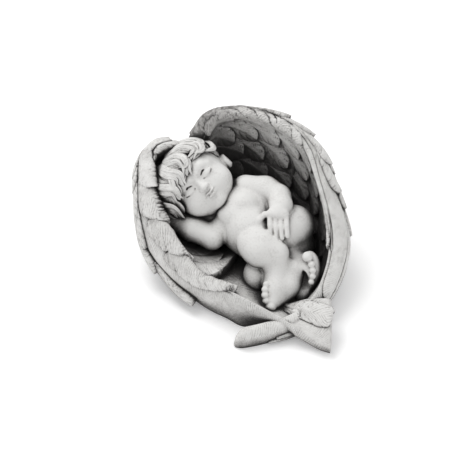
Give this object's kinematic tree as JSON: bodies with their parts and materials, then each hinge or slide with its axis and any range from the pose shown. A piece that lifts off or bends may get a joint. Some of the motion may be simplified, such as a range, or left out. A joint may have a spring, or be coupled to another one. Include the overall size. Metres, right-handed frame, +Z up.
{
  "type": "sleeping angel statue",
  "caption": "Cast stone garden statue of a sleeping child angel curled on its back in a nest made of its two feathered wings.",
  "frame": {"origin": "on the ground, under the middle of the statue's box", "axes": "+Z up. The viewer stands on the -Y side, where the wing tips cross. The tall wing and the head are on the +Y side"},
  "size_m": [0.2548, 0.2686, 0.1616],
  "materials": {
    "stone": "matte cast stone with a grey antique wash"
  },
  "bodies": {
    "root": {"sleeping_angel": "stone"}
  },
  "joints": []
}
